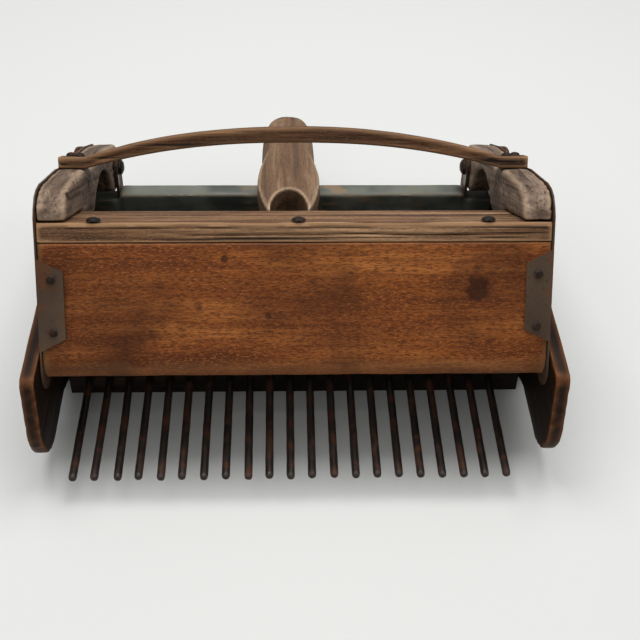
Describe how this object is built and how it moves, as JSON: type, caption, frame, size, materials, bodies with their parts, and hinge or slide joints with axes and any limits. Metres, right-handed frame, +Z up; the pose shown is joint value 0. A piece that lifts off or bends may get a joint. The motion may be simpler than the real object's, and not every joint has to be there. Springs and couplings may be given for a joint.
{
  "type": "berry hand scoop",
  "caption": "Wooden berry hand scoop with a comb of steel tines, a carved handle, and a sprung front jaw on side arms with a bentwood bail.",
  "frame": {"origin": "under the middle of the whole scoop, on the surface it stands on", "axes": "+Z up, +X to the right seen from the front, the tines point to -Y"},
  "size_m": [0.2144, 0.217, 0.1048],
  "materials": {
    "board_wood": "orange-brown planed board with fine flecks, dark stains and worn edges",
    "rail_wood": "weathered grey-brown softwood with long cracks",
    "arm_wood": "grey weathered wood, pitted on its sides",
    "dark_wood": "dark brown stained wood, warmer on its worn edges",
    "handle_wood": "hand-carved grey-brown wood, smooth from use",
    "green_paint": "dark green paint, chipped and worn to the wood along its top",
    "tin": "rust-browned tin sheet with brighter edges",
    "dark_iron": "dark brown-black iron with rust towards the tips",
    "spring_steel": "dull spring steel wire"
  },
  "bodies": {
    "frame": {"side_board_left": "dark_wood", "side_board_right": "dark_wood", "tine_bar": "dark_wood", "tine_01": "dark_iron", "tine_02": "dark_iron", "tine_03": "dark_iron", "tine_04": "dark_iron", "tine_05": "dark_iron", "tine_06": "dark_iron", "tine_07": "dark_iron", "tine_08": "dark_iron", "tine_09": "dark_iron", "tine_10": "dark_iron", "tine_11": "dark_iron", "tine_12": "dark_iron", "tine_13": "dark_iron", "tine_14": "dark_iron", "tine_15": "dark_iron", "tine_16": "dark_iron", "tine_17": "dark_iron", "tine_18": "dark_iron", "tine_19": "dark_iron", "tine_20": "dark_iron", "tine_21": "dark_iron", "bottom_board": "dark_wood", "back_board": "green_paint", "handle": "handle_wood", "handle_dowel_left": "dark_wood", "handle_dowel_right": "dark_wood", "pivot_ear_left": "tin", "pivot_ear_right": "tin", "pivot_rivet_left": "dark_iron", "pivot_rivet_right": "dark_iron", "return_spring_left": "spring_steel", "return_spring_right": "spring_steel", "side_nail_left_front": "dark_iron", "side_nail_left_rear": "dark_iron", "side_nail_right_front": "dark_iron", "side_nail_right_rear": "dark_iron"},
    "jaw": {"front_board": "board_wood", "top_rail": "rail_wood", "jaw_arm_left": "arm_wood", "jaw_arm_right": "arm_wood", "cheek_plate_left": "tin", "cheek_plate_right": "tin", "bail": "rail_wood", "bail_nail_left_inner": "dark_iron", "bail_nail_left_outer": "dark_iron", "bail_nail_right_inner": "dark_iron", "bail_nail_right_outer": "dark_iron", "rail_nail_left": "dark_iron", "rail_nail_middle": "dark_iron", "rail_nail_right": "dark_iron", "corner_tack_left_lower": "dark_iron", "corner_tack_left_upper": "dark_iron", "corner_tack_right_lower": "dark_iron", "corner_tack_right_upper": "dark_iron"}
  },
  "joints": [
    {"name": "jaw_hinge", "type": "hinge", "parent": "frame", "child": "jaw", "pos_m": [0, 0.0615, 0.0418], "axis": [1, 0, 0], "range_deg": [0, 10.5], "stiffness_Nm_per_rad": 1, "springref_deg": -28.65}
  ]
}
